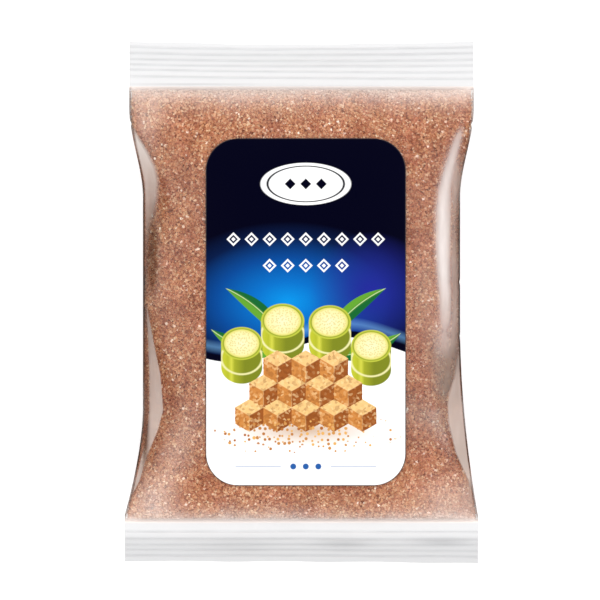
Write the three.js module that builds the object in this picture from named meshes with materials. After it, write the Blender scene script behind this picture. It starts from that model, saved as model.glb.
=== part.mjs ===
// A half-kilo bag of cane sugar: a clear film pouch with a ribbed heat seal across each end, lying on its
// back with the label up. Millimetres. +X runs across the bag, +Y to the top seal and +Z up from the table.
import * as THREE from 'three';
import { LoftGeometry } from 'three/addons/geometries/LoftGeometry.js';

// The bag seen from the front.
const waistHalfWidth = 63.4;
const topSeal = { start: 86.4, end: 103.3, halfWidth: 68.9, ribs: 6 };
const bottomSeal = { start: -87.8, end: -103.6, halfWidth: 70.7, ribs: 5 };

// The bag seen from the side: the front and back sheets meet at seamHeight above the table.
const seamHeight = 13.5;
const crownHeight = 20;
const bellyDepth = 17;
const sheetGap = 0.6;

// How round the filled body is, along the bag and across it.
const fillPower = 3.8;
const fillRoot = 1.9;
const crownPower = 2.8;
const bellyPower = 4.2;
const sectionRoot = 2;

// Where the sides flare out to the seals. Towards the bottom, the right side flares earlier than the left.
const topFlare = { from: 42, to: 78 };
const bottomFlares = {
  left: { from: 43, to: 85, power: 1.6 },
  right: { from: 8, to: 86, power: 1.9 },
};

// Ears of empty film down both sides. Each grows from one tip to its knuckle and shrinks to the other tip.
const ears = [
  { side: -1, tips: [72, 4], knuckle: 44, reach: 5.4 },
  { side: -1, tips: [-1, -82], knuckle: -41, reach: 7.2 },
  { side: 1, tips: [-22, -82], knuckle: -42, reach: 6.4 },
];
const earCurve = 1.25;
const creaseShare = 0.9;

// Ribs pressed across the seals, and the plain band between them and the sugar.
const ribDepth = 0.8;
const plainBand = 3.1;

// The seals' own bends: their ends lean outwards, and their free edges droop and wave.
const topBow = 1.1;
const bottomSlant = 0.8;
const finDroop = 1.2;
const finWave = 0.9;
const finWaveLength = 74;

// Puckers that run from the seals into the body.
const pleats = [
  { length: 26, depth: 0.45, phase: 0.6 },
  { length: 17, depth: 0.3, phase: 2.1 },
];
const pleatReach = 26;

// The lap of the back seam, folded flat against the back between two shallow grooves.
const lapFold = -1;
const lapEdge = 11;
const grooveWidth = 1.2;
const grooveDepth = 0.6;
const clearOfGroove = 1;

// The label stuck on the front.
const labelWidth = 79.8;
const labelLength = 138.5;
const labelCentre = { x: 1.7, y: -3.8 };
const labelCorner = 12.9;
const labelThickness = 0.5;
const labelGap = 0.3;

// How finely the surfaces are divided.
const columns = 26;
const bodyRows = 46;
const closerToSeals = 0.75;
const labelColumns = 14;
const labelCornerRows = 5;
const labelRows = 20;

const { clamp, lerp, smoothstep } = THREE.MathUtils;

// How far the bag reaches from its middle line at y, on the side where x lies.
function halfWidth(x, y) {
  if (y >= 0) {
    return lerp(waistHalfWidth, topSeal.halfWidth, smoothstep(y, topFlare.from, topFlare.to));
  }
  const { from, to, power } = x < 0 ? bottomFlares.left : bottomFlares.right;
  const share = clamp((-y - from) / (to - from), 0, 1);
  return lerp(waistHalfWidth, bottomSeal.halfWidth, share ** power);
}

// How full the bag is at y: 0 at the seals and 1 at the middle.
function fullness(y) {
  const share = y >= 0 ? y / topSeal.start : y / bottomSeal.start;
  return share >= 1 ? 0 : (1 - share ** fillPower) ** (1 / fillRoot);
}

// How far the empty film reaches past the sugar on one side at y.
function earReach(side, y) {
  let reach = 0;
  for (const ear of ears) {
    if (ear.side !== side) continue;
    const tip = y > ear.knuckle ? ear.tips[0] : ear.tips[1];
    const share = clamp((y - tip) / (ear.knuckle - tip), 0, 1);
    reach += ear.reach * share ** earCurve;
  }
  return reach;
}

// The height of one sheet of film above the seam. The sheet is round over the sugar and straight from the
// crease to the bag's edge.
function sheetHeight(x, y, height, power) {
  const half = halfWidth(x, y);
  const filled = half - earReach(Math.sign(x), y);
  const full = height * fullness(y);
  const round = (across) => full * Math.max(0, 1 - (across / filled) ** power) ** (1 / sectionRoot);
  const across = Math.abs(x);
  const crease = filled * creaseShare;
  const onSugar = round(Math.min(across, filled));
  if (across <= crease || filled === half) return onSugar;
  const straight = round(crease) * (half - across) / (half - crease);
  return Math.max(onSugar, straight);
}

// Puckers, deepest a few millimetres from each seal.
function pucker(x, y) {
  const inside = Math.min(topSeal.start - y, y - bottomSeal.start) / pleatReach;
  if (inside <= 0 || inside >= 1) return 0;
  const strength = Math.sin(Math.PI * Math.sqrt(inside)) * (1 - (x / halfWidth(x, y)) ** 2);
  let depth = 0;
  for (const pleat of pleats) {
    depth += pleat.depth * Math.cos((2 * Math.PI * x) / pleat.length + pleat.phase);
  }
  return depth * strength;
}

// How far y lies out on a seal: 0 on the body and 1 at the free edge.
function finShare(y) {
  const seal = y >= 0 ? topSeal : bottomSeal;
  return clamp((y - seal.start) / (seal.end - seal.start), 0, 1);
}

// The middle of the film at the seals, with their droop and wave.
function seamLevel(x, y) {
  const out = finShare(y);
  const wave = finWave * Math.sin((2 * Math.PI * x) / finWaveLength + Math.sign(y));
  return seamHeight + out * (wave - finDroop);
}

// The front of the bag.
function frontHeight(x, y) {
  return seamLevel(x, y) + sheetGap / 2 + sheetHeight(x, y, crownHeight, crownPower) + pucker(x, y);
}

// The back of the bag, pressed flat by the table.
function backHeight(x, y) {
  const depth = sheetHeight(x, y, bellyDepth, bellyPower);
  const flat = Math.max(0, seamLevel(x, y) - sheetGap / 2 - depth);
  return flat + groove(x) * fullness(y);
}

// A shallow groove along each edge of the back seam's lap.
function groove(x) {
  const middles = [lapFold - grooveWidth / 2, lapEdge + grooveWidth / 2];
  const nearest = Math.min(...middles.map((middle) => Math.abs(x - middle)));
  return grooveDepth * Math.max(0, 1 - nearest / (grooveWidth / 2));
}

// A point of the seal moves along Y with the seal's bow.
function bowed(x, y, z) {
  const out = finShare(y);
  const across = x / halfWidth(x, y);
  const shift = y > 0 ? topBow * across ** 2 : -bottomSlant * Math.max(0, across);
  return new THREE.Vector3(x, y + shift * out, z);
}

// One ring round the bag at y, lifted by the rib there: the front from left to right, then the back.
function bagRing(y, rib) {
  const spread = [];
  for (let i = 0; i <= columns; i++) {
    const across = Math.sin(Math.PI * (i / columns - 0.5));
    spread.push(halfWidth(across, y) * across);
  }
  const lapLines = [];
  for (const line of [lapFold - grooveWidth, lapEdge]) {
    lapLines.push(line, line + grooveWidth / 2, line + grooveWidth);
  }
  const clearOfLap = (x) => x < lapLines[0] - clearOfGroove || x > lapLines.at(-1) + clearOfGroove;
  const backSpread = [...spread.filter(clearOfLap), ...lapLines, (lapFold + lapEdge) / 2];
  backSpread.sort((a, b) => b - a);
  return [
    ...spread.map((x) => bowed(x, y, frontHeight(x, y) + rib)),
    ...backSpread.map((x) => bowed(x, y, backHeight(x, y) + rib)),
  ];
}

// The rings of one seal, from its inner edge outwards. The film goes up and down from rib to rib.
function sealRings({ start, end, ribs }) {
  const firstRib = start + Math.sign(end) * plainBand;
  const rings = [];
  for (let i = 0; i <= 2 * ribs; i++) {
    const y = lerp(firstRib, end, i / (2 * ribs));
    rings.push(bagRing(y, (i % 2 === 0 ? -0.5 : 0.5) * ribDepth));
  }
  return rings;
}

// The rings of the filled body, closer together towards the seals.
function bodyRings() {
  const rings = [];
  for (let i = 0; i <= bodyRows; i++) {
    const share = 0.5 - 0.5 * Math.cos((Math.PI * i) / bodyRows);
    const y = lerp(bottomSeal.start, topSeal.start, lerp(i / bodyRows, share, closerToSeals));
    rings.push(bagRing(y, 0));
  }
  return rings;
}

function makePouch() {
  const rings = [
    ...sealRings(bottomSeal).reverse(),
    ...bodyRings(),
    ...sealRings(topSeal),
  ];
  const film = new THREE.MeshStandardMaterial({ color: 0xb98469, roughness: 0.25, metalness: 0 });
  const pouch = new THREE.Mesh(new LoftGeometry(rings, { capStart: true, capEnd: true }), film);
  pouch.name = 'pouch';
  return pouch;
}

// One ring of the label at a distance from its lower end. Its corners are quarter circles.
function labelRing(along) {
  const fromEnd = Math.min(along, labelLength - along, labelCorner);
  const inset = labelCorner - Math.sqrt(labelCorner ** 2 - (labelCorner - fromEnd) ** 2);
  const half = labelWidth / 2 - inset;
  const y = labelCentre.y - labelLength / 2 + along;
  const front = [];
  const back = [];
  for (let i = 0; i <= labelColumns; i++) {
    const x = labelCentre.x + lerp(-half, half, i / labelColumns);
    const under = frontHeight(x, y) + labelGap;
    front.push(new THREE.Vector3(x, y, under + labelThickness));
    back.unshift(new THREE.Vector3(x, y, under));
  }
  return [...front, ...back];
}

function makeLabel() {
  const stations = [];
  for (let i = 0; i <= labelCornerRows; i++) {
    stations.push(labelCorner * (1 - Math.cos((Math.PI / 2) * (i / labelCornerRows))));
  }
  for (let i = 1; i < labelRows; i++) {
    stations.push(lerp(labelCorner, labelLength - labelCorner, i / labelRows));
  }
  for (let i = labelCornerRows; i >= 0; i--) {
    stations.push(labelLength - stations[i]);
  }
  const print = new THREE.MeshStandardMaterial({ color: 0x123c78, roughness: 0.35, metalness: 0 });
  const rings = stations.map(labelRing);
  const label = new THREE.Mesh(new LoftGeometry(rings, { capStart: true, capEnd: true }), print);
  label.name = 'label';
  return label;
}

const bag = new THREE.Group();
bag.add(makePouch(), makeLabel());

export default bag;
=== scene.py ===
# A half-kilo bag of brown cane sugar: clear film over loose crystals, with a ribbed heat seal at each end and
# a label on the front. It lies on its back and the camera looks straight down on it.
import math

import bpy
import numpy as np
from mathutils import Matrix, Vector


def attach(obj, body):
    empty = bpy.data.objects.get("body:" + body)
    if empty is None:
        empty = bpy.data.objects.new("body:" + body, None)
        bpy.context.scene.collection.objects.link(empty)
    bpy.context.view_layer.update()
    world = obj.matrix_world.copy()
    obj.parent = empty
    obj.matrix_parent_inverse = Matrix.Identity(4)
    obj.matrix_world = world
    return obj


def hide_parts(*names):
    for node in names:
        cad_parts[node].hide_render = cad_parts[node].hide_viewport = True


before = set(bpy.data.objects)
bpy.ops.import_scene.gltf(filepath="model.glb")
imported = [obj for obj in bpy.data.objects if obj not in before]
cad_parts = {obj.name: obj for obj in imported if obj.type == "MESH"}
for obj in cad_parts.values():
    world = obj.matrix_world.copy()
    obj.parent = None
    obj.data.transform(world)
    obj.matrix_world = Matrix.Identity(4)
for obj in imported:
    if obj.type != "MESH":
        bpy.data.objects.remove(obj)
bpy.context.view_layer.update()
print("frame loaded:", sorted(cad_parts))

mm = 0.001  # the sizes below are millimetres, and the meshes are metres


# The bag's form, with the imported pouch's own sizes

bagForm = {
    "waistHalfWidth": 63.4,
    "topSeal": {"start": 86.4, "end": 103.3, "halfWidth": 68.9},
    "bottomSeal": {"start": -87.8, "end": -103.6, "halfWidth": 70.7},
    "topFlare": (42, 78),
    "leftBottomFlare": (43, 85, 1.6),  # from, to and power
    "rightBottomFlare": (8, 86, 1.9),
    "seamHeight": 13.5,
    "crownHeight": 20,
    "bellyDepth": 17,
    "sheetGap": 0.6,
    "fillPower": 3.8,
    "fillRoot": 1.9,
    "crownPower": 2.8,
    "bellyPower": 4.2,
    "ears": [  # side, tips, knuckle and reach of the film that stands off the sugar
        (-1, (72, 4), 44, 5.4),
        (-1, (-1, -82), -41, 7.2),
        (1, (-22, -82), -42, 6.4),
    ],
    "earCurve": 1.25,
    "creaseShare": 0.9,
    "topBow": 1.1,
    "bottomSlant": 0.8,
    "finDroop": 1.2,
    "finWave": 0.9,
    "finWaveLength": 74,
    "pleats": [(26, 0.45, 0.6), (17, 0.3, 2.1)],  # length, depth and phase
    "pleatReach": 26,
}
topWeld, bottomWeld = bagForm["topSeal"]["start"], bagForm["bottomSeal"]["start"]  # the sugar ends there
fullTurn = 2 * math.pi


def smoothStep(value, low, high):
    share = np.clip((value - low) / (high - low), 0, 1)
    return share * share * (3 - 2 * share)


def flareAt(y, flare):
    low, high, power = flare
    return np.clip((-y - low) / (high - low), 0, 1) ** power


def halfWidthAt(x, y):  # on the side where x lies
    upper = smoothStep(y, *bagForm["topFlare"])
    lower = np.where(x < 0, flareAt(y, bagForm["leftBottomFlare"]), flareAt(y, bagForm["rightBottomFlare"]))
    waist = bagForm["waistHalfWidth"]
    widen = (bagForm["topSeal"]["halfWidth"] - waist) * upper
    return waist + widen + (bagForm["bottomSeal"]["halfWidth"] - waist) * lower


def fullnessAt(y):
    share = np.where(y >= 0, y / topWeld, y / bottomWeld)
    return np.clip(1 - np.clip(share, 0, 1) ** bagForm["fillPower"], 0, 1) ** (1 / bagForm["fillRoot"])


def earReachAt(x, y):
    reach = np.zeros(np.broadcast(x, y).shape)
    for side, tips, knuckle, most in bagForm["ears"]:
        tip = np.where(y > knuckle, tips[0], tips[1])
        share = np.clip((y - tip) / (knuckle - tip), 0, 1)
        reach = reach + np.where(np.sign(x) == side, most * share ** bagForm["earCurve"], 0)
    return reach


def sheetHeightAt(x, y, height, power):
    half = halfWidthAt(x, y)
    filled = half - earReachAt(x, y)
    full = height * fullnessAt(y)

    def roundAt(across):
        return full * np.sqrt(np.clip(1 - (across / filled) ** power, 0, 1))

    across = np.abs(x)
    crease = filled * bagForm["creaseShare"]
    onSugar = roundAt(np.minimum(across, filled))
    straight = roundAt(crease) * (half - across) / (half - crease)
    eared = (across > crease) & (filled < half)
    return np.where(eared, np.maximum(onSugar, straight), onSugar)


def sealGapAt(y):  # how far it is to the nearer seal
    return np.minimum(topWeld - y, y - bottomWeld)


def puckerAt(x, y):
    inside = np.clip(sealGapAt(y) / bagForm["pleatReach"], 0, 1)
    strength = np.sin(np.pi * np.sqrt(inside)) * (1 - (x / halfWidthAt(x, y)) ** 2)
    depth = 0
    for length, amount, phase in bagForm["pleats"]:
        depth = depth + amount * np.cos(fullTurn * x / length + phase)
    return depth * strength


def finShareAt(y):
    top, bottom = bagForm["topSeal"], bagForm["bottomSeal"]
    upper = (y - top["start"]) / (top["end"] - top["start"])
    lower = (y - bottom["start"]) / (bottom["end"] - bottom["start"])
    return np.clip(np.where(y >= 0, upper, lower), 0, 1)


def seamLevelAt(x, y):
    wave = bagForm["finWave"] * np.sin(fullTurn * x / bagForm["finWaveLength"] + np.sign(y))
    return bagForm["seamHeight"] + finShareAt(y) * (wave - bagForm["finDroop"])


def frontAt(x, y):
    rise = sheetHeightAt(x, y, bagForm["crownHeight"], bagForm["crownPower"])
    return seamLevelAt(x, y) + bagForm["sheetGap"] / 2 + rise + puckerAt(x, y)


def backAt(x, y):
    drop = sheetHeightAt(x, y, bagForm["bellyDepth"], bagForm["bellyPower"])
    return np.maximum(0, seamLevelAt(x, y) - bagForm["sheetGap"] / 2 - drop)


def bowedAt(x, y):
    across = x / halfWidthAt(x, y)
    shift = np.where(y > 0, bagForm["topBow"] * across**2, -bagForm["bottomSlant"] * np.clip(across, 0, 1))
    return y + shift * finShareAt(y)


# Meshes from rows and columns of points

def addObject(name, mesh):
    piece = bpy.data.objects.new(name, mesh)
    bpy.context.scene.collection.objects.link(piece)
    return piece


def pointsAt(x, y, z):
    return np.stack([x, y, z], axis=-1)


def roundTheShell(front, back):
    return np.concatenate([front, back[:, ::-1]], axis=1)


def spreadRows(low, high, count, crowding):  # closer together towards both ends
    share = np.linspace(0, 1, count)
    eased = 0.5 - 0.5 * np.cos(np.pi * share)
    return low + (high - low) * ((1 - crowding) * share + crowding * eased)


def closedShell(name, front, back):
    rows, columns = front.shape[:2]
    rings = roundTheShell(front, back)
    around = 2 * columns
    index = np.arange(rows * around).reshape(rows, around)
    after = np.roll(index, -1, axis=1)
    sides = np.stack([index[:-1], after[:-1], after[1:], index[1:]], axis=-1).reshape(-1, 4)
    over = np.arange(columns - 1)
    under = around - 1 - over
    caps = [
        np.stack([ring[over], ring[under], ring[under - 1], ring[over + 1]], axis=-1)
        for ring in (index[0], index[-1])
    ]
    faces = np.concatenate([sides, caps[0], caps[1][:, ::-1]])
    mesh = bpy.data.meshes.new(name)
    mesh.from_pydata((rings.reshape(-1, 3) * mm).tolist(), [], faces.tolist())
    mesh.polygons.foreach_set("use_smooth", [True] * len(mesh.polygons))
    mesh.update()
    return addObject(name, mesh)


def paintPoints(piece, name, values):
    layer = piece.data.attributes.new(name, "FLOAT", "POINT")
    layer.data.foreach_set("value", np.asarray(values, dtype=np.float32).ravel())


# Shader and geometry trees, written as expressions

class Value:  # one output socket, which adds and multiplies like a number
    def __init__(self, tree, socket):
        self.tree = tree
        self.socket = socket

    def math(self, operation, *others, clamp=False):
        settings = {"operation": operation, "use_clamp": clamp}
        return self.tree.add("ShaderNodeMath", settings, dict(enumerate((self, *others))))

    def __add__(self, other):
        return self.math("ADD", other)

    __radd__ = __add__

    def __sub__(self, other):
        return self.math("SUBTRACT", other)

    def __rsub__(self, other):
        return self.tree.add("ShaderNodeMath", {"operation": "SUBTRACT"}, {0: other, 1: self})

    def __mul__(self, other):
        return self.math("MULTIPLY", other)

    __rmul__ = __mul__

    def __truediv__(self, other):
        return self.math("DIVIDE", other)

    def __abs__(self):
        return self.math("ABSOLUTE")

    def clamped(self):
        return self.math("ADD", 0, clamp=True)

    def least(self, other):
        return self.math("MINIMUM", other)

    def most(self, other):
        return self.math("MAXIMUM", other)

    def within(self, edge):  # 1 where the distance is negative, 0 where positive, over one edge's width
        return self.math("MULTIPLY_ADD", -1 / edge, 0.5, clamp=True)

    def wrapped(self, pitch):  # repeats from -pitch / 2 to pitch / 2
        return self.math("WRAP", pitch / 2, -pitch / 2)


class Tree:
    def __init__(self, nodeTree):
        self.nodes = nodeTree.nodes
        self.links = nodeTree.links

    def node(self, kind, settings=None, sockets=None):
        made = self.nodes.new(kind)
        for name, value in (settings or {}).items():
            if name == "stops":
                self.setStops(made.color_ramp, value)
            elif name == "points":
                self.setPoints(made.mapping, value)
            else:
                setattr(made, name, value)
        for key, value in (sockets or {}).items():
            if isinstance(value, Value):
                self.links.new(value.socket, made.inputs[key])
            else:
                made.inputs[key].default_value = value
        return made

    def add(self, kind, settings=None, sockets=None, output=0):
        return Value(self, self.node(kind, settings, sockets).outputs[output])

    def setStops(self, ramp, stops):
        while len(ramp.elements) < len(stops):
            ramp.elements.new(1)
        for element, (place, colour) in zip(ramp.elements, stops):
            element.position = place
            element.color = colour

    def setPoints(self, mapping, points):
        curve = mapping.curves[0]
        while len(curve.points) < len(points):
            curve.points.new(0.5, 0.5)
        for point, place in zip(curve.points, points):
            point.location = place
            point.handle_type = "VECTOR"
        mapping.update()

    def mix(self, factor, first, second, blend="MIX"):
        settings = {"data_type": "RGBA", "blend_type": blend}
        return self.add("ShaderNodeMix", settings, {0: factor, 6: first, 7: second}, 2)

    def vector(self, operation, *sockets, output=0, **named):
        places = {**dict(enumerate(sockets)), **named}
        return self.add("ShaderNodeVectorMath", {"operation": operation}, places, output)

    def lengthOf(self, vector):
        return self.vector("LENGTH", vector, output=1)

    def joined(self, x, y, z=0):
        return self.add("ShaderNodeCombineXYZ", sockets={0: x, 1: y, 2: z})

    def outputs(self, node, *names):
        return [Value(self, node.outputs[name]) for name in names]

    def parted(self, kind, whole):  # the three parts of a vector or a colour
        return self.outputs(self.node("ShaderNodeSeparate" + kind, sockets={0: whole}), 0, 1, 2)

    def ramp(self, factor, stops):
        return self.add("ShaderNodeValToRGB", {"stops": stops}, {0: factor})

    def painted(self, name):  # what a piece's points say under this name
        return self.add("ShaderNodeAttribute", {"attribute_name": name}, output="Fac")

    def noise(self, place, scale, detail):
        return self.add("ShaderNodeTexNoise", sockets={"Vector": place, "Scale": scale, "Detail": detail})

    def cells(self, place, scale, dimensions="3D"):  # each cell's colour, and how far its middle is
        settings = {"voronoi_dimensions": dimensions}
        made = self.node("ShaderNodeTexVoronoi", settings, {"Vector": place, "Scale": scale})
        return self.outputs(made, "Color", "Distance")

    def bump(self, height, strength):
        sockets = {"Strength": strength, "Distance": 0.4 * mm, "Height": height}
        return self.add("ShaderNodeBump", sockets=sockets)

    def surface(self, colour, roughness, others=None):
        sockets = {"Base Color": colour, "Roughness": roughness, **(others or {})}
        return self.add("ShaderNodeBsdfPrincipled", sockets=sockets)

    def blend(self, factor, first, second):  # of two surfaces
        return self.add("ShaderNodeMixShader", sockets={0: factor, 1: first, 2: second})


def ink(red, green, blue):  # a screen colour as Blender's linear one
    parts = [part / 255 for part in (red, green, blue)]
    return (*[p / 12.92 if p < 0.04045 else ((p + 0.055) / 1.055) ** 2.4 for p in parts], 1)


def newFinish(name):
    finish = bpy.data.materials.new(name)
    finish.use_nodes = True
    finish.node_tree.nodes.clear()
    return finish, Tree(finish.node_tree)


def closeFinish(tree, surface):
    tree.node("ShaderNodeOutputMaterial", sockets={"Surface": surface})


def placeInMillimetres(tree, centre=(0, 0, 0)):  # as a vector, and its three parts
    place = tree.add("ShaderNodeTexCoord", output="Object")
    sockets = {"Vector": place, "Scale": (1 / mm,) * 3, "Location": tuple(-c for c in centre)}
    scaled = tree.add("ShaderNodeMapping", sockets=sockets)
    return scaled, *tree.parted("XYZ", scaled)


# The clear film

film = {
    "columns": 150,
    "bodyRows": 184,
    "rowsPerRib": 10,
    "ribPitch": 2.3,
    "crowding": 0.45,
    "thinnest": 0.3,
    "grooves": [  # height, and tilt across the bag
        (101.3, 0), (99.0, 0), (96.6, -0.002), (94.5, -0.003), (92.3, -0.008), (89.8, -0.007),
        (-91.7, 0), (-94.6, 0), (-96.9, 0.002), (-99.0, 0), (-101.2, 0.001),
    ],
    "grooveWidth": 0.42,
    "grooveDepth": 0.4,
    "edgeWobble": 0.22,  # the cut ends aren't quite straight
    "nicks": [(-1, 71.6, 0.45), (1, 71.2, 0.6), (1, 8.2, 0.3), (1, -13.6, 0.3)],  # side, height and depth
    "nickLength": 0.8,
    "lift": 0.28,  # keeps the back clear of its lap
    "waves": 16,
    "waveDepth": 0.07,
    "waveLengths": (14, 46),
    "pleatCount": 7,
    "pleatDepth": 0.16,
    "pleatLengths": (4, 15),
    "pleatReach": (2.5, 9),  # full this far from a seal, and how slowly they fade
    "seed": 5,
    "ridges": [  # soft folds: from, to, height and width
        ((-55, -42), (-30, -56), 0.5, 3.2),
        ((58, -41), (42, -38), 0.5, 4.0),
        ((58, -41), (44, -60), 0.4, 3.5),
        ((-57, 47), (-46, 30), 0.35, 3.0),
        ((-66, -86), (-50, -66), 0.35, 2.6),
        ((67, -86), (52, -68), 0.35, 2.6),
    ],
    "veils": [  # hazy places, milky film with painted light and shade: middle, spread across and along, turn in degrees and amount
        ((57, -21), (6.2, 13), 0, 0.5),
        ((57.5, -34), (4.2, 7), 0, 0.42),
        ((50, -46), (5.4, 13), 60, 0.24),
        ((49, 4), (5, 20), 0, 0.14),
        ((61.2, 12), (2.2, 32), 0, 0.5),
        ((61.5, 50), (3.2, 10), 0, 0.42),
        ((61, -79), (9, 9), 0, 0.16),
        ((68, -76), (3.4, 10), 0, 0.4),
    ],
    "shades": [  # painted shade beside the flat facets, given like the veils
        ((-59.4, 18), (2.6, 17), 0, 0.5),
        ((-62.6, -40), (1.5, 24), 0, 0.58),
        ((62.6, 26), (1.3, 12), 0, 0.2),
    ],
    "outline": [  # dark line down each side, the folded film's tint and painted shade: side, width, strength, and where it fades below and above
        (-1, 0.66, 0.78, (-80, -62), (40, 74)),
        (1, 0.5, 0.68, (-78, -60), (28, 46)),
        (-1, 0.9, 0.4, (62, 70), (84, 87)),
        (1, 0.9, 0.22, (62, 70), (84, 87)),
        (-1, 0.9, 0.34, (-88, -85), (-76, -68)),
        (1, 0.9, 0.34, (-88, -85), (-76, -68)),
    ],
    "sheen": [  # painted highlight down the right shoulder: height, middle, half width and amount
        (-22, 57.2, 3.4, 0), (-13, 57.4, 3.5, 0.26), (-5, 57.6, 3.0, 0.56), (3, 57.3, 2.7, 0.78),
        (14, 56.7, 2.8, 0.88), (26, 56.5, 3.0, 0.92), (37, 56.6, 3.1, 0.9), (45, 57.2, 2.7, 0.8),
        (52, 58.6, 2.3, 0.7), (60, 60.7, 2.1, 0.6), (67, 62.8, 1.7, 0.46), (72, 64.4, 1.0, 0),
    ],
    "paintedSealShades": [  # painted shade on the seals, given like the veils
        ((56, -95.4), (10, 1.6), 0, 0.3), ((17, -96.4), (10, 1.9), 0, 0.26),
        ((-26, -97.4), (15, 3.2), 0, 0.13), ((12, 95), (34, 1.2), 0, 0.1),
        ((-45, 87.3), (24, 0.3), 0, 0.4), ((0, 98.6), (90, 2.8), 0, 0.12),
    ],
    "paintedGrooveShades": (0.24, 0.16),  # painted shade in the grooves: in the light, and where the lower seal is shaded
    "sealShade": (91.5, 95.5, 0.31),  # the lower seal turns away from the light between these heights
}

# Flat facets where the film stands off the sugar, milky, with painted shade and highlight: how far the inner
# and outer creases lie from the middle line at each height along the bag, the haze at the lower and upper
# tips, and how soft their edges are.
facets = [
    {
        "side": -1,
        "inner": [
            (12, 61.6), (19, 61.2), (27, 60.3), (33, 58.8), (43, 57.6), (49, 57.4), (54, 58.6), (60, 61.6),
            (69, 67.2),
        ],
        "outer": [(12, 62.0), (27, 62.7), (40, 62.9), (49, 63.2), (56, 65.2), (69, 67.4)],
        "haze": (0.4, 0.9),
        "softness": 2.0,
    },
    {
        "side": -1,
        "inner": [
            (-80, 69.3), (-71, 64.6), (-61, 61.6), (-51, 57.4), (-43, 55.2), (-29, 56.3), (-17, 58.8),
            (-1, 61.8),
        ],
        "outer": [(-80, 69.5), (-70, 66.0), (-57, 62.9), (-43, 60.9), (-29, 60.9), (-12, 61.5), (-1, 62.0)],
        "haze": (0.62, 0.68),
        "softness": 0.5,
    },
    {
        "side": 1,
        "inner": [
            (-80, 69.2), (-71, 66.6), (-60, 61.6), (-48, 58.7), (-41, 58.3), (-37, 58.8), (-30, 61.2),
            (-19, 62.9),
        ],
        "outer": [(-80, 69.5), (-64, 67.0), (-48, 65.0), (-37, 64.0), (-30, 63.5), (-19, 63.3)],
        "haze": (0.66, 0.66),
        "softness": 0.9,
    },
]

labelForm = {
    "width": 79.8,
    "length": 138.5,
    "centre": (1.7, -3.8),
    "corner": 12.9,
    "columns": 120,
    "rows": 200,
    "crowding": 0.25,
    "above": 0.42,  # how far the label's back is over the plain film
    "thickness": 0.16,
    "relaxReach": 4,  # the film lies smooth this far in from the label's edge
}


def labelDistanceAt(x, y):
    centreX, centreY = labelForm["centre"]
    corner = labelForm["corner"]
    across = np.abs(x - centreX) - labelForm["width"] / 2 + corner
    along = np.abs(y - centreY) - labelForm["length"] / 2 + corner
    outside = np.hypot(np.maximum(across, 0), np.maximum(along, 0))
    return outside + np.minimum(np.maximum(across, along), 0) - corner


def ridgeAt(x, y, start, end, height, width):
    start, end = np.array(start, float), np.array(end, float)
    along = end - start
    share = np.clip(((x - start[0]) * along[0] + (y - start[1]) * along[1]) / (along @ along), 0, 1)
    away = np.hypot(x - start[0] - share * along[0], y - start[1] - share * along[1])
    return height * (1 - share) * np.exp(-((away / width) ** 2))


def filmReliefAt(x, y):
    chance = np.random.default_rng(film["seed"])
    relief = np.zeros(np.broadcast(x, y).shape)
    for _ in range(film["waves"]):
        length, turn = chance.uniform(*film["waveLengths"]), chance.uniform(0, np.pi)
        phase = chance.uniform(0, fullTurn)
        across = x * np.cos(turn) + y * np.sin(turn)
        relief = relief + film["waveDepth"] * np.sin(fullTurn * across / length + phase)
    fromSeal = np.clip(sealGapAt(y), 0, None)
    rise, fade = film["pleatReach"]
    gathered = np.exp(-fromSeal / fade) * np.clip(fromSeal / rise, 0, 1)
    for _ in range(film["pleatCount"]):
        length, phase = chance.uniform(*film["pleatLengths"]), chance.uniform(0, fullTurn)
        relief = relief + film["pleatDepth"] * gathered * np.cos(fullTurn * x / length + phase + np.sign(y))
    for start, end, height, width in film["ridges"]:
        relief = relief + ridgeAt(x, y, start, end, height, width)
    calm = smoothStep(labelDistanceAt(x, y), -labelForm["relaxReach"], 1)
    edge = 1 - (np.abs(x) / halfWidthAt(x, y)) ** 6
    onBody = 1 - np.clip(finShareAt(y) * 4, 0, 1)
    return relief * calm * edge * onBody


def flattenFacets(x, y, heightAt):
    height = heightAt(x, y)
    for facet in facets:
        low, high = facet["inner"][0][0], facet["inner"][-1][0]
        inner = np.interp(y, *zip(*facet["inner"])) * facet["side"]
        outer = np.interp(y, *zip(*facet["outer"])) * facet["side"]
        share = np.clip((x - inner) / (outer - inner), 0, 1)
        chord = heightAt(inner, y) * (1 - share) + heightAt(outer, y) * share
        here = (share > 0) & (share < 1) & (y > low) & (y < high)
        height = np.where(here, chord, height)
    return height


def patchAt(x, y, middle, spread, turn, amount):
    cosine, sine = np.cos(np.radians(turn)), np.sin(np.radians(turn))
    across = ((x - middle[0]) * cosine + (y - middle[1]) * sine) / spread[0]
    along = ((y - middle[1]) * cosine - (x - middle[0]) * sine) / spread[1]
    return amount * np.exp(-(across**2) - along**2)


def patchesAt(x, y, places):
    return sum(patchAt(x, y, *place) for place in places)


# painted shade down the sides, with the folded film's own tint
def outlineAt(x, y):
    line = np.zeros_like(x)
    fromSide = halfWidthAt(x, y) - np.abs(x)
    for side, width, most, below, above in film["outline"]:
        along = smoothStep(y, *below) * (1 - smoothStep(y, *above))
        across = 1 - smoothStep(fromSide, width * 0.6, width * 1.6)
        line = line + np.where(np.sign(x) == side, most * along * across, 0)
    return line


# how strong the painted highlight down the right shoulder is at each point
def paintedHighlightAt(x, y):
    heights, middles, widths, amounts = np.transpose(film["sheen"])
    away = (x - np.interp(y, heights, middles)) / np.interp(y, heights, widths)
    return np.interp(y, heights, amounts) * np.exp(-np.abs(away) ** 2.4)


# painted shade on the seals: where the lower seal turns from the light, darker patches and darker grooves
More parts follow.
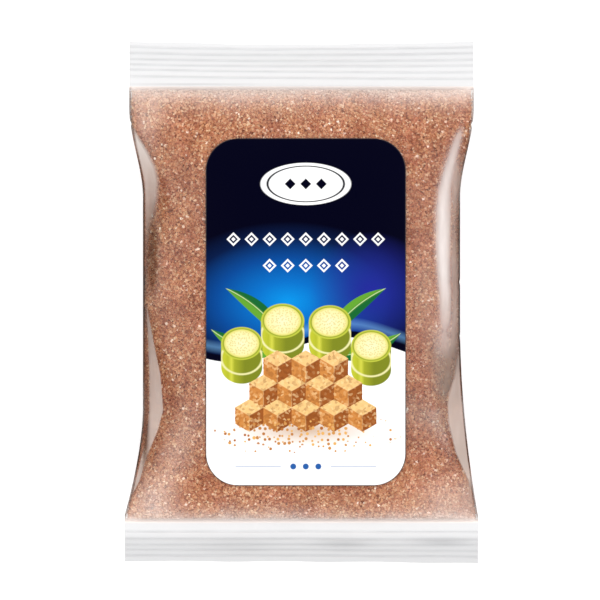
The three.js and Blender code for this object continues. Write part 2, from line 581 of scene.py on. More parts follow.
def sealPaintedShadeAt(x, y):
    low, high, amount = film["sealShade"]
    shaded = smoothStep(-y, low, high)
    tone = amount * shaded + patchesAt(x, y, film["paintedSealShades"])
    short = 0.3 * np.sin(x / 9.7 + y * 1.9) * np.sin(x / 4.3 - y * 2.7)
    long = 0.2 * np.sin(x / 23 + y * 3.1)
    groove = -ribAt(x, y) / film["grooveDepth"] * np.interp(shaded, (0, 1), film["paintedGrooveShades"])
    return np.clip(tone + groove * (0.8 + short + long), 0, 1)  # no groove is even along its length


def ribAt(x, y):
    press = np.zeros_like(y)
    for height, tilt in film["grooves"]:
        away = (y - height - tilt * x) / film["grooveWidth"]
        press = press - film["grooveDepth"] * np.exp(-(away**2))
    return press


def nickAt(x, y):
    nick = np.zeros_like(x)
    for side, height, depth in film["nicks"]:
        along = np.exp(-(((y - height) / film["nickLength"]) ** 2))
        sharp = along * (np.abs(x) / halfWidthAt(x, y)) ** 8
        nick = nick + np.where(np.sign(x) == side, side * depth * sharp, 0)
    return nick


def wobbleAt(x, y):
    wave = np.sin(x / 6.1 + y) * 0.6 + np.sin(x / 14.3 - 1) * 0.4
    return film["edgeWobble"] * wave * finShareAt(y) ** 4


def filmRows():
    fine = film["ribPitch"] / film["rowsPerRib"]
    lower = np.arange(bagForm["bottomSeal"]["end"], bottomWeld, fine)
    upper = np.arange(bagForm["topSeal"]["end"], topWeld, -fine)[::-1]
    return np.concatenate([lower, spreadRows(bottomWeld, topWeld, film["bodyRows"], film["crowding"]), upper])


def filmGrid(columns, rows, reach=1):  # at 1 it goes out to the bag's sides
    across = np.sin(np.pi / 2 * np.linspace(-reach, reach, columns))
    y = rows[:, None] * np.ones(columns)
    return halfWidthAt(across, y) * across, y


def filmFrontAt(x, y):
    return flattenFacets(x, y, frontAt) + filmReliefAt(x, y) + film["lift"] * (1 - finShareAt(y))


def filmBackAt(x, y):
    return np.maximum(backAt(x, y), 0) + film["lift"]


def makeFilm():
    x, y = filmGrid(film["columns"], filmRows())
    rib = ribAt(x, y)
    pinched = x - nickAt(x, y)
    placed = bowedAt(x, y) + wobbleAt(x, y)
    over = filmFrontAt(x, y) + rib
    under = np.minimum(filmBackAt(x, y) + rib, over - film["thinnest"])
    made = closedShell("film_pouch", pointsAt(pinched, placed, over), pointsAt(pinched, placed, under))
    painted = {
        "haze": (patchesAt(x, y, film["veils"]), 0.5),
        "sheen": (paintedHighlightAt(x, y), 0),
        "shade": (np.maximum(patchesAt(x, y, film["shades"]), outlineAt(x, y)), 0.6),
        "tone": (sealPaintedShadeAt(x, y), 1),
    }
    for name, (values, backShare) in painted.items():
        paintPoints(made, name, roundTheShell(values, values * backShare))
    made.visible_shadow = False  # thin film lets the light through to the sugar
    return made


def facetMask(tree, x, y, facet):
    span, nearest, depth = 240.0, 50, 20  # what the curves cover along the bag and out from its middle line

    def creaseCurve(points):
        spread = [((place + span / 2) / span, (away - nearest) / depth) for place, away in points]
        full = [(0, spread[0][1]), *spread, (1, spread[-1][1])]
        share = y / span + 0.5
        return tree.add("ShaderNodeFloatCurve", {"points": full}, {"Value": share}) * depth + nearest

    across = x * facet["side"]
    between = (creaseCurve(facet["inner"]) - across).most(across - creaseCurve(facet["outer"]))
    low, high = facet["inner"][0][0], facet["inner"][-1][0]
    ends = abs(y - (low + high) / 2) - (high - low) / 2
    lower, upper = facet["haze"]
    amount = (y - low) * ((upper - lower) / (high - low)) + lower
    return between.most(ends).within(facet["softness"]) * amount


filmLook = {
    "clear": (0.985, 0.98, 0.975, 1),
    "gloss": 1.9,
    "roughness": 0.2,
    "milk": ink(213, 213, 214),
    "shadedMilk": ink(152, 152, 154),
    "fadeMilk": ink(214, 202, 196),
    "weldMilk": ink(244, 230, 223),
    "facetMilkAndPaintedLight": [  # milky film with painted shade and highlight, along the bag, from its bottom to its top
        (-80, ink(206, 192, 182)), (-45, ink(192, 176, 167)), (-5, ink(170, 152, 142)),
        (12, ink(154, 133, 120)), (34, ink(169, 151, 141)), (52, ink(192, 177, 169)),
        (68, ink(222, 214, 208)),
    ],
    # the veils' milk along the bag, darker where it is painted shade
    "veilMilkAndPaintedLight": [
        (-66, ink(196, 172, 160)), (-46, ink(150, 138, 130)), (-30, ink(138, 124, 115)),
        (-20, ink(142, 127, 118)), (-8, ink(190, 172, 162)), (40, ink(196, 178, 168)),
    ],
    # colour of the painted highlight on the right shoulder
    "paintedHighlightMilk": ink(212, 202, 198),
    # dark brown for the painted shade beside the facets and down the sides
    "paintedShadeColour": ink(74, 53, 42),
    "sealHaze": 0.92,
    "lowerGap": 0.2,  # the lower seal's white stops this far short of its weld
    "fade": (7, 5, 0.42),  # paleness beside the seals: its reach at the top and bottom, and its strength
    "weldFade": (2.2, 1.05, 0.96),  # whiter still along the welds: softness, reach and strength
    "dullEnds": (62, 16, 0.7),  # the gloss fades towards the seals: from where, how softly and how much
    "dust": 0.06,
}


def makeFilmFinish():
    finish, tree = newFinish("clear_film")
    place, x, y, z = placeInMillimetres(tree)

    streaks = tree.add("ShaderNodeMapping", sockets={"Vector": place, "Scale": (0.35, 0.07, 0.35)})
    streak = tree.noise(streaks, 1.0, 3.0)
    patch = tree.noise(place, 0.05, 2.0)
    topReach, bottomReach, strength = filmLook["fade"]
    softness, weldReach, whitest = filmLook["weldFade"]
    fades = (topWeld - y).within(topReach).most((y - bottomWeld).within(bottomReach)) * strength
    weld = ((topWeld - y).least(y - bottomWeld) - weldReach).within(softness) * whitest
    fades = fades.most(weld)
    onSeal = (topWeld - y).within(0.4).most((y - bottomWeld + filmLook["lowerGap"]).within(0.8))
    onFront = (bagForm["seamHeight"] - z).within(1.5)
    kites = facetMask(tree, x, y, facets[0])
    for facet in facets[1:]:
        kites = kites.most(facetMask(tree, x, y, facet))
    kites = kites * onFront
    # milky haze with painted light and shade, broken up by the streaks
    veils = tree.painted("haze") * (streak * 0.8 + 0.6)
    # painted highlight on the right shoulder, broken up by the streaks
    sheen = tree.painted("sheen") * (streak * 0.5 + 0.75)
    # painted shade beside the facets and down the sides
    shade = tree.painted("shade") * (1 - onSeal)
    haze = fades.most(kites).most(veils).most(sheen).most(shade) + (patch - 0.3).most(0) * filmLook["dust"]
    haze = haze * (1 - onSeal) + onSeal * filmLook["sealHaze"]
    bump = tree.bump(tree.noise(place, 0.9, 2.0), 0.12)  # fine wrinkles
    height, softness, lost = filmLook["dullEnds"]
    ends = (height - abs(y)).within(softness) * lost
    mirror = tree.add("ShaderNodeFresnel", sockets={"IOR": 1.5, "Normal": bump})
    shine = mirror * filmLook["gloss"] * (1 - ends)
    gloss = tree.surface((1, 1, 1, 1), filmLook["roughness"], {"Metallic": 1.0, "Normal": bump})
    clear = tree.add("ShaderNodeBsdfTransparent", sockets={"Color": filmLook["clear"]})
    window = tree.blend(shine.least(1), clear, gloss)
    span = bagForm["topSeal"]["end"] - bagForm["bottomSeal"]["end"]

    def alongBag(milks):
        stops = [((height + span / 2) / span, colour) for height, colour in milks]
        return tree.ramp(y * (1 / span) + 0.5, stops)

    faded = filmLook["fadeMilk"]
    # the facets' milky film with painted shade and highlight, broken up by the streaks
    facetMilkAndPaintedLight = tree.mix((streak - 0.4).most(0) * 0.9, alongBag(filmLook["facetMilkAndPaintedLight"]), faded)
    layers = [  # each layer lies over those before it: milky film, painted shade and painted highlight
        ((fades * 5).least(1), faded),
        (weld, filmLook["weldMilk"]),
        ((kites * 3).least(1), facetMilkAndPaintedLight),
        ((sheen * 2.5).least(1), filmLook["paintedHighlightMilk"]),
        ((shade * 3).least(1), filmLook["paintedShadeColour"]),
        # the seals' milk, darkened by the painted shade in their tone
        (onSeal, tree.mix(tree.painted("tone"), filmLook["milk"], filmLook["shadedMilk"])),
    ]
    milk = alongBag(filmLook["veilMilkAndPaintedLight"])
    for share, layer in layers:
        milk = tree.mix(share, milk, layer)
    closeFinish(tree, tree.blend(haze.clamped(), window, tree.surface(milk, 0.32, {"Normal": bump})))
    return finish


# The sugar

sugar = {
    "inset": 1.1,
    "columns": 130,
    "rows": 200,
    "crowding": 0.4,
    "weldGap": 0.4,
    "sideReach": 0.985,
    "leastDepth": 0.04,
    "sownDepths": (0.1, 1.0),  # from no grains to full cover, as the sugar gets deeper
    "underLabel": 2.5,  # no grains further than this in from the label's edge
    "backShare": 0.55,
    "lift": (-0.3, 0.14),  # how far a grain sinks in or stands out
    "flatness": 0.8,
    "cells": 1.5,  # in a millimetre
    "shades": [(0, ink(150, 88, 58)), (0.6, ink(190, 122, 86)), (1, ink(220, 158, 122))],
}

crystals = {  # grains on a square metre, shortest and longest side, seed, dark and light colour, roughness
    "sugar_pale": (430000, 0.55, 1.3, 21, ink(207, 158, 121), ink(238, 208, 172), 0.3),
    "sugar_honey": (470000, 0.6, 1.45, 22, ink(191, 130, 89), ink(220, 168, 126), 0.35),
    "sugar_amber": (470000, 0.6, 1.4, 23, ink(174, 110, 72), ink(205, 144, 103), 0.35),
    "sugar_brown": (370000, 0.5, 1.15, 24, ink(122, 66, 38), ink(172, 106, 69), 0.4),
    # the sparkle crystals are near white: painted glints, with a real gloss of their own
    "sugar_sparkle": (28000, 0.7, 1.4, 25, ink(255, 226, 200), ink(255, 246, 232), 0.15),
}
patches = {  # broad places in the sugar that are darker, more olive or more pink
    "length": 13,
    "shade": ink(186, 112, 78),
    "amount": 0.45,
    "hueLength": 9,
    "hues": [
        (0.36, (0.98, 0.965, 0.925, 1)), (0.5, (0.98, 0.965, 0.965, 1)), (0.64, (0.985, 0.92, 0.945, 1)),
    ],
    "pinkerRight": 0.0012,  # for each millimetre across
}
fines = {  # pale sugar dust caught against the film: how far it reaches from each seal, and other places
    "colour": ink(246, 236, 230),
    "most": 0.8,
    "top": (5.8, 1.5),
    "bottom": (3.2, 1.15),
    "places": [
        ((-51, -62), (6.5, 19), -24, 0.26),
        ((-60, -80), (9, 9), 0, 0.36),
        ((58, -79), (13, 9), 0, 0.26),
        ((-62, 76), (8, 9), 0, 0.24),
        ((-63, 60), (5, 14), 0, 0.18),
        ((42, 84), (26, 5), 0, 0.08),
        ((49, -46), (14, 6), -20, 0.06),
    ],
}


def sheetNormals(x, y, heightAt):
    step = 0.05
    slopeX = (heightAt(x + step, y) - heightAt(x - step, y)) / (2 * step)
    slopeY = (heightAt(x, y + step) - heightAt(x, y - step)) / (2 * step)
    normal = np.stack([-slopeX, -slopeY, np.ones_like(x)], axis=-1)
    return normal / np.linalg.norm(normal, axis=-1, keepdims=True)


def finesAt(x, y):
    uneven = 0.8 * np.sin(x / 5.3 + 1) * np.sin(x / 2.1) + 0.9 * np.sin(x / 12.7)
    nearSeals = 0
    for gap, (reach, power) in ((topWeld - y, fines["top"]), (y - bottomWeld, fines["bottom"])):
        nearSeals = nearSeals + np.exp(-(np.clip((gap + uneven * 0.6) / reach, 0, None) ** power))
    return np.clip(nearSeals * fines["most"] + patchesAt(x, y, fines["places"]), 0, fines["most"])


def makeSugar():
    gap, thin = sugar["weldGap"], sugar["leastDepth"]
    rows = spreadRows(bottomWeld + gap, topWeld - gap, sugar["rows"], sugar["crowding"])
    x, y = filmGrid(sugar["columns"], rows, sugar["sideReach"])
    middle = seamLevelAt(x, y) + film["lift"]

    def insetSheet(heightAt, outward):
        normal = sheetNormals(x, y, heightAt) * outward
        points = pointsAt(x, y, heightAt(x, y)) - normal * sugar["inset"]
        beyond = (points[..., 2] - middle) * outward
        points[..., 2] = np.where(beyond < thin, middle + outward * thin, points[..., 2])
        return points, np.clip(beyond, 0, None)

    front, frontDepth = insetSheet(filmFrontAt, 1)
    back, backDepth = insetSheet(filmBackAt, -1)
    body = closedShell("sugar_body", front, back)
    inView = smoothStep(labelDistanceAt(x, y), -sugar["underLabel"] - 0.5, -sugar["underLabel"])
    sownFront = smoothStep(frontDepth, *sugar["sownDepths"]) * inView
    sownBack = smoothStep(backDepth, *sugar["sownDepths"]) * sugar["backShare"]
    paintPoints(body, "sown", roundTheShell(sownFront, sownBack))
    pale = finesAt(x, y)
    paintPoints(body, "pale", roundTheShell(pale, pale))
    return body


def shadePatches(tree, place, x, colour):
    broad = tree.noise(place, 1 / patches["length"], 2.0)
    darker = ((broad - 0.45) * 4).clamped() * patches["amount"]
    shaded = tree.mix(darker, colour, patches["shade"], "MULTIPLY")
    drift = tree.noise(place, 1 / patches["hueLength"], 3.0)
    hue = tree.ramp(drift + x * patches["pinkerRight"], patches["hues"])
    shaded = tree.mix(1.0, shaded, hue, "MULTIPLY")
    return tree.mix(tree.painted("pale"), shaded, fines["colour"])


def addSugarFinish(body):
    finish, tree = newFinish("packed_sugar")
    place, x, *_ = placeInMillimetres(tree)
    speck, away = tree.cells(place, sugar["cells"])
    tone = tree.parted("Color", speck)[0]
    grain = shadePatches(tree, place, x, tree.ramp(tone, sugar["shades"]))
    closeFinish(tree, tree.surface(grain, 0.55, {"Normal": tree.bump(1 - away, 0.8)}))
    body.data.materials.append(finish)


def crystalTree():
    group = bpy.data.node_groups.new("sown_crystals", "GeometryNodeTree")
    face = group.interface
    face.new_socket("Sugar", in_out="INPUT", socket_type="NodeSocketGeometry")
    wanted = {
        "Per square metre": "Float",
        "Short side": "Float",
        "Long side": "Float",
        "Seed": "Int",
        "Finish": "Material",
    }
    for name, kind in wanted.items():
        face.new_socket(name, in_out="INPUT", socket_type="NodeSocket" + kind)
    face.new_socket("Crystals", in_out="OUTPUT", socket_type="NodeSocketGeometry")
    tree = Tree(group)
    given = tree.node("NodeGroupInput")
    inputs = {socket.name: Value(tree, socket) for socket in given.outputs if socket.name}

    def chance(kind, low, high, offset):
        seed = inputs["Seed"] + offset
        places = {"FLOAT": (2, 3, 1), "FLOAT_VECTOR": (0, 1, 0)}[kind]
        sockets = {places[0]: low, places[1]: high, "Seed": seed}
        return tree.add("FunctionNodeRandomValue", {"data_type": kind}, sockets, places[2])

    sown = tree.add("GeometryNodeInputNamedAttribute", {"data_type": "FLOAT"}, {"Name": "sown"})
    scatter = tree.node(
        "GeometryNodeDistributePointsOnFaces",
        {"distribute_method": "RANDOM"},
        {"Mesh": inputs["Sugar"], "Density": inputs["Per square metre"] * sown, "Seed": inputs["Seed"]},
    )
    points, normal = tree.outputs(scatter, "Points", "Normal")
    sunk, raised = [height * mm for height in sugar["lift"]]
    lift = tree.vector("SCALE", normal, Scale=chance("FLOAT", sunk, raised, 1))
    long, wide, high = [chance("FLOAT", inputs["Short side"], inputs["Long side"], n) for n in (2, 3, 4)]
    angles = chance("FLOAT_VECTOR", (0, 0, 0), (fullTurn,) * 3, 5)
    placed = tree.add("GeometryNodeInstanceOnPoints", sockets={
        "Points": tree.add("GeometryNodeSetPosition", sockets={"Geometry": points, "Offset": lift}),
        "Instance": tree.add("GeometryNodeMeshCube"),
        "Rotation": tree.add("FunctionNodeEulerToRotation", sockets={0: angles}),
        "Scale": tree.joined(long, wide * sugar["flatness"], high * sugar["flatness"]),
    })
    toned = tree.add(
        "GeometryNodeStoreNamedAttribute",
        {"data_type": "FLOAT", "domain": "INSTANCE"},
        {"Geometry": placed, "Name": "tone", "Value": chance("FLOAT", 0.0, 1.0, 6)},
    )
    real = tree.add("GeometryNodeRealizeInstances", sockets={0: toned})
    finished = tree.add("GeometryNodeSetMaterial", sockets={"Geometry": real, "Material": inputs["Finish"]})
    tree.node("NodeGroupOutput", sockets={0: finished})
    return group


def makeCrystals(body, group, name):
    density, short, long, seed, dark, light, roughness = crystals[name]
    finish, tree = newFinish(name + "_finish")
    place, x, *_ = placeInMillimetres(tree)
    colour = tree.mix(tree.painted("tone"), dark, light)
    closeFinish(tree, tree.surface(shadePatches(tree, place, x, colour), roughness))
    modifier = body.modifiers.new(name, "NODES")
    modifier.node_group = group
    values = {
        "Per square metre": float(density),
        "Short side": short * mm,
        "Long side": long * mm,
        "Seed": seed,
        "Finish": finish,
    }
    for socket in group.interface.items_tree:
        if socket.name in values:
            modifier[socket.identifier] = values[socket.name]
    bpy.context.view_layer.update()
    depsgraph = bpy.context.evaluated_depsgraph_get()
    mesh = bpy.data.meshes.new_from_object(body.evaluated_get(depsgraph), depsgraph=depsgraph)
    body.modifiers.remove(modifier)
    mesh.name = name
    mesh.calc_loop_triangles()
    print(name, len(mesh.loop_triangles), "triangles")
    return addObject(name, mesh)


# The label

def makeLabel():
    corner = labelForm["corner"]
    fromEnd = spreadRows(0, labelForm["length"], labelForm["rows"], labelForm["crowding"])
    near = np.minimum(np.minimum(fromEnd, labelForm["length"] - fromEnd), corner)
    inset = corner - np.sqrt(np.clip(corner**2 - (corner - near) ** 2, 0, None))
    half = labelForm["width"] / 2 - inset
    centreX, centreY = labelForm["centre"]
    x = centreX + half[:, None] * np.linspace(-1, 1, labelForm["columns"])
    y = (centreY - labelForm["length"] / 2 + fromEnd)[:, None] * np.ones(labelForm["columns"])
    under = frontAt(x, y) + film["lift"] + labelForm["above"]
    front = pointsAt(x, y, under + labelForm["thickness"])
    return closedShell("front_label", front, pointsAt(x, y, under))


artwork = {  # sizes from the label's middle
    "paper": ink(238, 238, 237),
    # a thin painted shadow just inside the label's edge
    "paintedRimShadow": ink(72, 62, 62),
    "rimWidth": 0.28,
    "night": ink(0, 0, 20),
    "glow": [
        (0.0, ink(0, 0, 20)), (0.2, ink(0, 20, 60)), (0.45, ink(0, 62, 132)), (0.75, ink(0, 98, 176)),
        (1.0, ink(0, 130, 204)),
    ],
    "glowPlace": ((-7, 4), (52, 32)),
    "violet": ink(26, 34, 132),
    "violetPlace": ((26, 8), (25, 24)),
    "waveLength": 88,
    "waveHeight": 5,
    "waveLevel": -15,
    "rim": 2.6,
    "ripple": ink(120, 180, 232),
    "ripplePlace": (-5.5, 1.2, 3.0, 0.32),  # how far over the wave, half width, softness and strength
}

leaves = [  # root, turn in degrees, length, half width, bend
    ((-8, -16), 163, 31, 3.2, 3.0),
    ((-8, -12), 138, 32, 3.0, -2.5),
    ((8, -12), 42, 32, 3.0, 2.5),
    ((8, -17), 16, 31, 3.2, -3.0),
]
leafLook = {"dark": ink(18, 92, 42), "light": ink(88, 146, 42), "rib": ink(184, 200, 146)}

rounds = [(-9.2, -3.5, 8.6), (9.6, -4.0, 8.4), (-25.5, -12.5, 8.2), (26, -13.5, 8.0)]  # cut cane: place, size
roundLook = {
    "flesh": [
        (0.0, ink(228, 220, 178)), (0.7, ink(222, 212, 150)), (0.84, ink(200, 194, 96)),
        (0.88, ink(126, 138, 36)), (0.95, ink(174, 180, 60)),
    ],
    "fibre": ink(192, 176, 108),
    "lit": ink(210, 208, 78),
    "side": ink(172, 176, 44),
    "shade": ink(112, 120, 28),
    "node": ink(212, 208, 150),
    "squash": 0.8,
    "tall": 9.5,
}

cubes = {
    "size": 6.5,
    "middle": (0, -41.2),
    "perSide": 2,
    "rows": 3,
    "faces": (ink(222, 180, 118), ink(188, 122, 60), ink(144, 80, 34)),
    "glint": ink(232, 200, 148),
    "dark": ink(104, 52, 20),
    "grain": 0.95,
    "rough": 0.14,  # how uneven the grains make the edges
    "shadow": ((0, -47), (38, 8)),
    "shadowInk": ink(176, 136, 96),
}

crumbs = {
    "cell": 2.0,
    "middle": (0, -48.5),
    "spread": (38.5, 8.5),
    "pale": ink(214, 162, 92),
    "deep": ink(158, 92, 42),
}

ornaments = {
    "oval": ((0, 51), (18, 8.4)),
    "ovalDiamonds": (51, 6.2, 2.2, 9.3),  # level, pitch, size, and reach to each side
    "rows": [(29, 7.2, 2.9, 32.4), (18.5, 7.2, 2.9, 18.0)],
    "dots": (-61.5, 5, 1.2, 7.5),
    "hairlines": (19, 9),  # middle and half length, at the dots' level
    "ink": ink(34, 84, 150),
}


def distanceFrom(tree, x, y, centre, spread):
    across = (x - centre[0]) * (1 / spread[0])
    along = (y - centre[1]) * (1 / spread[1])
    return tree.lengthOf(tree.joined(across, along))


def nearness(tree, x, y, centre, spread):  # 1 at the centre, down to 0
    return (1 - distanceFrom(tree, x, y, centre, spread)).most(0)


def paintField(tree, x, y):
    art = artwork
    wave = (x * (fullTurn / art["waveLength"]) + 0.5).math("SINE") * art["waveHeight"] + art["waveLevel"]
    blue = tree.ramp(nearness(tree, x, y, *art["glowPlace"]), art["glow"])
    blue = tree.mix(nearness(tree, x, y, *art["violetPlace"]) * 1.1, blue, art["violet"])
    over = wave - y
    place, half, softness, strength = art["ripplePlace"]
    blue = tree.mix((abs(over - place) - half).within(softness) * strength, blue, art["ripple"])
    blue = tree.mix((-art["rim"] - over).within(0.5), blue, art["night"])
    return tree.mix(over.within(0.3), art["paper"], blue)


def paintLeaves(tree, x, y, colour):
    for (rootX, rootY), turn, length, half, bend in leaves:
        cosine, sine = math.cos(math.radians(turn)), math.sin(math.radians(turn))
        along = (x * cosine + (y * sine - (rootX * cosine + rootY * sine))) * (1 / length)
        arch = along * (1 - along) * 4
        across = y * cosine - (x * sine - (rootX * sine - rootY * cosine)) - arch * bend
        blade = (abs(across) - arch * half).within(0.3)
        green = tree.mix(across.within(1.6), leafLook["light"], leafLook["dark"])
        green = tree.mix((abs(across) - 0.16).within(0.25), green, leafLook["rib"])
        colour = tree.mix(blade, colour, green)
    return colour


def paintRounds(tree, x, y, colour, fibre):
    look = roundLook
    for placeX, placeY, size in rounds:
        squash = size * look["squash"]
        tall = look["tall"]

        def ovalAt(drop):
            return (distanceFrom(tree, x, y, (placeX, placeY - drop), (size, squash)) - 1) * squash

        wall = (abs(x - placeX) - size).most(abs(y - (placeY - tall / 2)) - tall / 2)
        side = tree.mix((x - placeX + size * 0.35).within(size), look["shade"], look["side"])
        side = tree.mix((abs(x - placeX + size * 0.5) - 0.5).within(1.6) * 0.7, side, look["lit"])
        side = tree.mix((abs(ovalAt(tall * 0.6)) - 0.35).within(0.4), side, look["node"])
        colour = tree.mix(ovalAt(tall).least(wall).within(0.3), colour, side)
        face = ovalAt(0)
        flesh = tree.ramp(face * (1 / squash) + 1, look["flesh"])
        flesh = tree.mix((face + size * 0.2).within(0.2) * fibre, flesh, look["fibre"])
        colour = tree.mix(face.within(0.3), colour, flesh)
    return colour


def paintCubes(tree, x, y, colour, speck):
    size = cubes["size"]
    cell = (math.sqrt(3) * size, 3 * size, 1)
    half = tuple(c / 2 for c in cell)
    less = tuple(-c for c in half)
    wobble = (speck - 0.5) * cubes["rough"]
    middleX, middleY = cubes["middle"]
    spot = tree.joined(x - middleX + wobble, y - middleY + wobble)
    first = tree.vector("WRAP", spot, half, less)
    second = tree.vector("WRAP", tree.vector("SUBTRACT", spot, (*half[:2], 0)), half, less)
    nearer = tree.lengthOf(first).math("LESS_THAN", tree.lengthOf(second))
    local = tree.add("ShaderNodeMix", {"data_type": "VECTOR"}, {0: nearer, 4: second, 5: first}, 1)
    across, along, _ = tree.parted("XYZ", local)
    homeX, homeY, _ = tree.parted("XYZ", tree.vector("SUBTRACT", spot, local))
    reach = cubes["perSide"] * cell[0] + 1
    inPile = (abs(homeX) + abs(homeY) * (cell[0] / cell[1]) - reach).within(0.5)
    step = 0.75 * size  # half the rise from one row of cubes to the next
    inPile = inPile * (abs(homeY - step * (cubes["rows"] - 1)) - step * cubes["rows"]).within(0.5)
    top, left, right = cubes["faces"]
    amber = tree.mix(across.within(0.3), right, left)
    onTop = abs(across) * (1 / math.sqrt(3)) - along
    amber = tree.mix(onTop.within(0.3), amber, top)
    upright = (abs(across) - 0.1).within(0.4) * (along - 0.1).within(0.2)
    arris = (abs(onTop) - 0.1).within(0.4).most(upright)
    amber = tree.mix(arris * 0.45, amber, cubes["glint"])
    amber = tree.mix((speck - 0.5).most(0) * 0.9, amber, cubes["dark"])
    amber = tree.mix((0.3 - speck).most(0) * 1.6, amber, cubes["glint"])
    return tree.mix(inPile, colour, amber)


def paintCrumbs(tree, place, x, y, colour):
    speck, away = tree.cells(place, 1 / crumbs["cell"], "2D")
    red, green, blue = tree.parted("Color", speck)
    away = away * crumbs["cell"] - (green * 0.4 + 0.3)
    spread = distanceFrom(tree, x, y, crumbs["middle"], crumbs["spread"])
    here = (spread - red * 0.75 - 0.3).within(0.05) * away.within(0.2)
    return tree.mix(here, colour, tree.mix(blue, crumbs["pale"], crumbs["deep"]))


def paintOrnaments(tree, x, y, colour):
    def diamonds(level, pitch, size, reach):
        return ((abs(x.wrapped(pitch)) + abs(y - level) - size) * 0.7).most(abs(x) - reach)

    middle, spread = ornaments["oval"]
    oval = (distanceFrom(tree, x, y, middle, spread) - 1) * spread[1]
    colour = tree.mix(oval.within(0.3), colour, artwork["paper"])
    line = (abs(oval + 1.3) - 0.22).within(0.25)
    inOval = diamonds(*ornaments["ovalDiamonds"]).within(0.25)
    colour = tree.mix(line.most(inOval), colour, artwork["night"])
    for row in ornaments["rows"]:
        shape = diamonds(*row)
        outline = (abs(shape + 0.45) - 0.32).within(0.25)
        centre = (shape + 1.45).within(0.25)
        colour = tree.mix(outline.most(centre), colour, artwork["paper"])
    level, pitch, size, reach = ornaments["dots"]
    dot = distanceFrom(tree, x.wrapped(pitch), y, (0, level), (size, size)) - 1
    dots = dot.most(abs(x) - reach).within(0.25)
    away, half = ornaments["hairlines"]
    hairline = (abs(y - level) - 0.1).most(abs(abs(x) - away) - half).within(0.25)
    return tree.mix(dots.most(hairline), colour, ornaments["ink"])


def makeLabelFinish():
    finish, tree = newFinish("label_print")
    place, x, y, _ = placeInMillimetres(tree, (*labelForm["centre"], 0))
    grains, away = tree.cells(place, 1 / cubes["grain"], "2D")
    speck = tree.parted("Color", grains)[0]
    fibre = (away - 0.3).within(0.2) * 0.6
    colour = paintField(tree, x, y)
    colour = paintLeaves(tree, x, y, colour)
    colour = paintRounds(tree, x, y, colour, fibre)
    colour = tree.mix(nearness(tree, x, y, *cubes["shadow"]) * 0.8, colour, cubes["shadowInk"])
    colour = paintCubes(tree, x, y, colour, speck)
    colour = paintCrumbs(tree, place, x, y, colour)
    colour = paintOrnaments(tree, x, y, colour)
    corner = labelForm["corner"]
    across = abs(x) - (labelForm["width"] / 2 - corner)
    along = abs(y) - (labelForm["length"] / 2 - corner)
    rounding = tree.lengthOf(tree.joined(across.most(0), along.most(0)))
    edge = rounding + across.most(along).least(0) - corner
    # painted shadow along the label's edge
    colour = tree.mix((edge + artwork["rimWidth"]).within(0.12), artwork["paintedRimShadow"], colour)
    closeFinish(tree, tree.surface(colour, 0.38, {"Specular IOR Level": 0.05}))
    return finish


# The lap of the back seam, pressed flat under the bag

lap = {
    "fold": -1,
    "edge": 11,
    "weldGap": 0.5,
    "thickness": 0.1,
    "below": 0.24,
    "columns": 26,
    "rows": 160,
    "haze": (2.6, 0.12, 0.35),  # fine lines across: how close, how strong, and the haze between them
}


def makeLap():
    gap = lap["weldGap"]
    y = np.linspace(bottomWeld + gap, topWeld - gap, lap["rows"])[:, None] * np.ones(lap["columns"])
    x = np.linspace(lap["fold"], lap["edge"], lap["columns"]) * np.ones((lap["rows"], 1))
    under = filmBackAt(x, y) - lap["below"]
    return closedShell("back_lap", pointsAt(x, y, under + lap["thickness"]), pointsAt(x, y, under))


def makeLapFinish():
    finish, tree = newFinish("lapped_film")
    clear = tree.add("ShaderNodeBsdfTransparent", sockets={"Color": filmLook["clear"]})
    across = placeInMillimetres(tree)[1]
    close, strength, plain = lap["haze"]
    lines = (across * close).math("SINE") * strength + plain
    closeFinish(tree, tree.blend(lines, clear, tree.surface(filmLook["milk"], 0.3)))
    return finish


# The stage: floor, light and camera

stage = {
    "viewWidth": 240,
    "viewCentre": (-0.6, 1.0),
    "cameraHeight": 4000,
    "sensor": 36,
    "floorSize": 6,
    "floorColour": (0.85, 0.85, 0.85, 1),
    "floorGlow": 0.3,
    "fill": 0.85,
    "mirrored": 0.8,
    "sky": [(0.0, 0.08), (0.12, 0.2), (0.4, 0.8), (0.85, 0.7), (0.98, 0.12)],  # dark low down and overhead
    "backdrop": (0.95, 0.95, 0.95, 1),
}

lights = [  # places and sizes in metres; a mirrored light shows in the film and adds no other light
    {"name": "overhead", "place": (0, 0.05, 1.7), "target": (0, 0, 0),
     "size": (2.0, 2.0), "power": 26, "mirrored": False},
    {"name": "right_strip", "place": (0.33, 0.03, 0.12), "target": (0.05, 0.03, 0.02),
     "size": (0.08, 0.13), "power": 0.02, "mirrored": True},
    {"name": "right_glow", "place": (0.34, 0.03, 0.12), "target": (0.05, 0.03, 0.02),
     "size": (0.12, 0.2), "power": 0.05, "mirrored": True},
]


def makeFloor():
    size = stage["floorSize"]
    mesh = bpy.data.meshes.new("floor")
    corners = [(-size, -size, 0), (size, -size, 0), (size, size, 0), (-size, size, 0)]
    mesh.from_pydata(corners, [], [(0, 1, 2, 3)])
    floor = addObject("floor", mesh)
    finish, tree = newFinish("pale_floor")
    glow = {"Emission Color": (1, 1, 1, 1), "Emission Strength": stage["floorGlow"]}
    closeFinish(tree, tree.surface(stage["floorColour"], 0.9, {"Specular IOR Level": 0.1, **glow}))
    mesh.materials.append(finish)
    floor.visible_glossy = False  # so the film's sides stay dark at their edges
    return floor


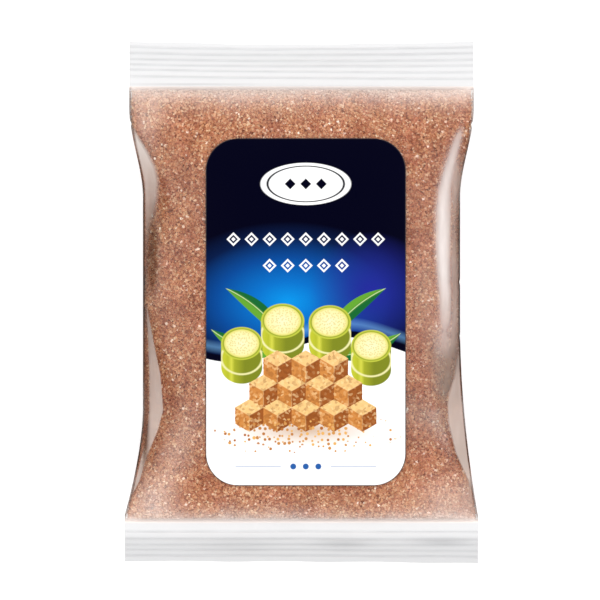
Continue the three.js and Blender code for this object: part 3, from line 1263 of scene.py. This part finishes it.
def makeLights():
    for light in lights:
        lamp = bpy.data.lights.new(light["name"], "AREA")
        lamp.shape = "RECTANGLE"
        lamp.size, lamp.size_y = light["size"]
        lamp.energy = light["power"]
        piece = addObject(light["name"], lamp)
        piece.visible_camera = False
        piece.visible_glossy = light["mirrored"]
        piece.visible_diffuse = not light["mirrored"]
        piece.location = light["place"]
        direction = Vector(light["target"]) - Vector(light["place"])
        piece.rotation_euler = direction.to_track_quat("-Z", "Y").to_euler()


def makeWorld():
    world = bpy.data.worlds.new("studio")
    bpy.context.scene.world = world
    world.use_nodes = True
    world.node_tree.nodes.clear()
    tree = Tree(world.node_tree)
    up = tree.parted("XYZ", tree.add("ShaderNodeTexCoord", output="Generated"))[2]
    glow = tree.ramp(up, [(place, (shade, shade, shade, 1)) for place, shade in stage["sky"]])
    skies = [((1, 1, 1, 1), stage["fill"]), (glow, stage["mirrored"]), (stage["backdrop"], 1.0)]
    fill, mirrored, seen = [tree.add("ShaderNodeBackground", sockets=dict(enumerate(sky))) for sky in skies]
    glossyRay, cameraRay = tree.outputs(tree.node("ShaderNodeLightPath"), "Is Glossy Ray", "Is Camera Ray")
    shown = tree.blend(cameraRay, tree.blend(glossyRay, fill, mirrored), seen)
    tree.node("ShaderNodeOutputWorld", sockets={"Surface": shown})


def makeCamera():
    height = stage["cameraHeight"] * mm
    data = bpy.data.cameras.new("camera")
    data.sensor_width = stage["sensor"]
    data.lens = stage["sensor"] * (height / mm) / stage["viewWidth"]
    camera = addObject("camera", data)
    centreX, centreY = stage["viewCentre"]
    camera.location = (centreX * mm, centreY * mm, height + bagForm["seamHeight"] * mm)
    bpy.context.scene.camera = camera


filmPiece = makeFilm()
filmPiece.data.materials.append(makeFilmFinish())
print("film made")

sugarBody = makeSugar()
addSugarFinish(sugarBody)
group = crystalTree()
grainPieces = [makeCrystals(sugarBody, group, name) for name in crystals]
print("sugar made")

labelPiece = makeLabel()
labelPiece.data.materials.append(makeLabelFinish())
lapPiece = makeLap()
lapPiece.data.materials.append(makeLapFinish())
print("label and lap made")

slots = [(filmPiece, "film"), (sugarBody, "sugar"), (labelPiece, "label_print"), (lapPiece, "film")]
for piece, slot in slots + [(piece, "sugar") for piece in grainPieces]:
    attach(piece, "root")
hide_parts("pouch")
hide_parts("pouch")
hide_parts("label")

floor = makeFloor()
makeLights()
makeWorld()
makeCamera()
bpy.context.scene.view_settings.view_transform = "Standard"
print("stage made")
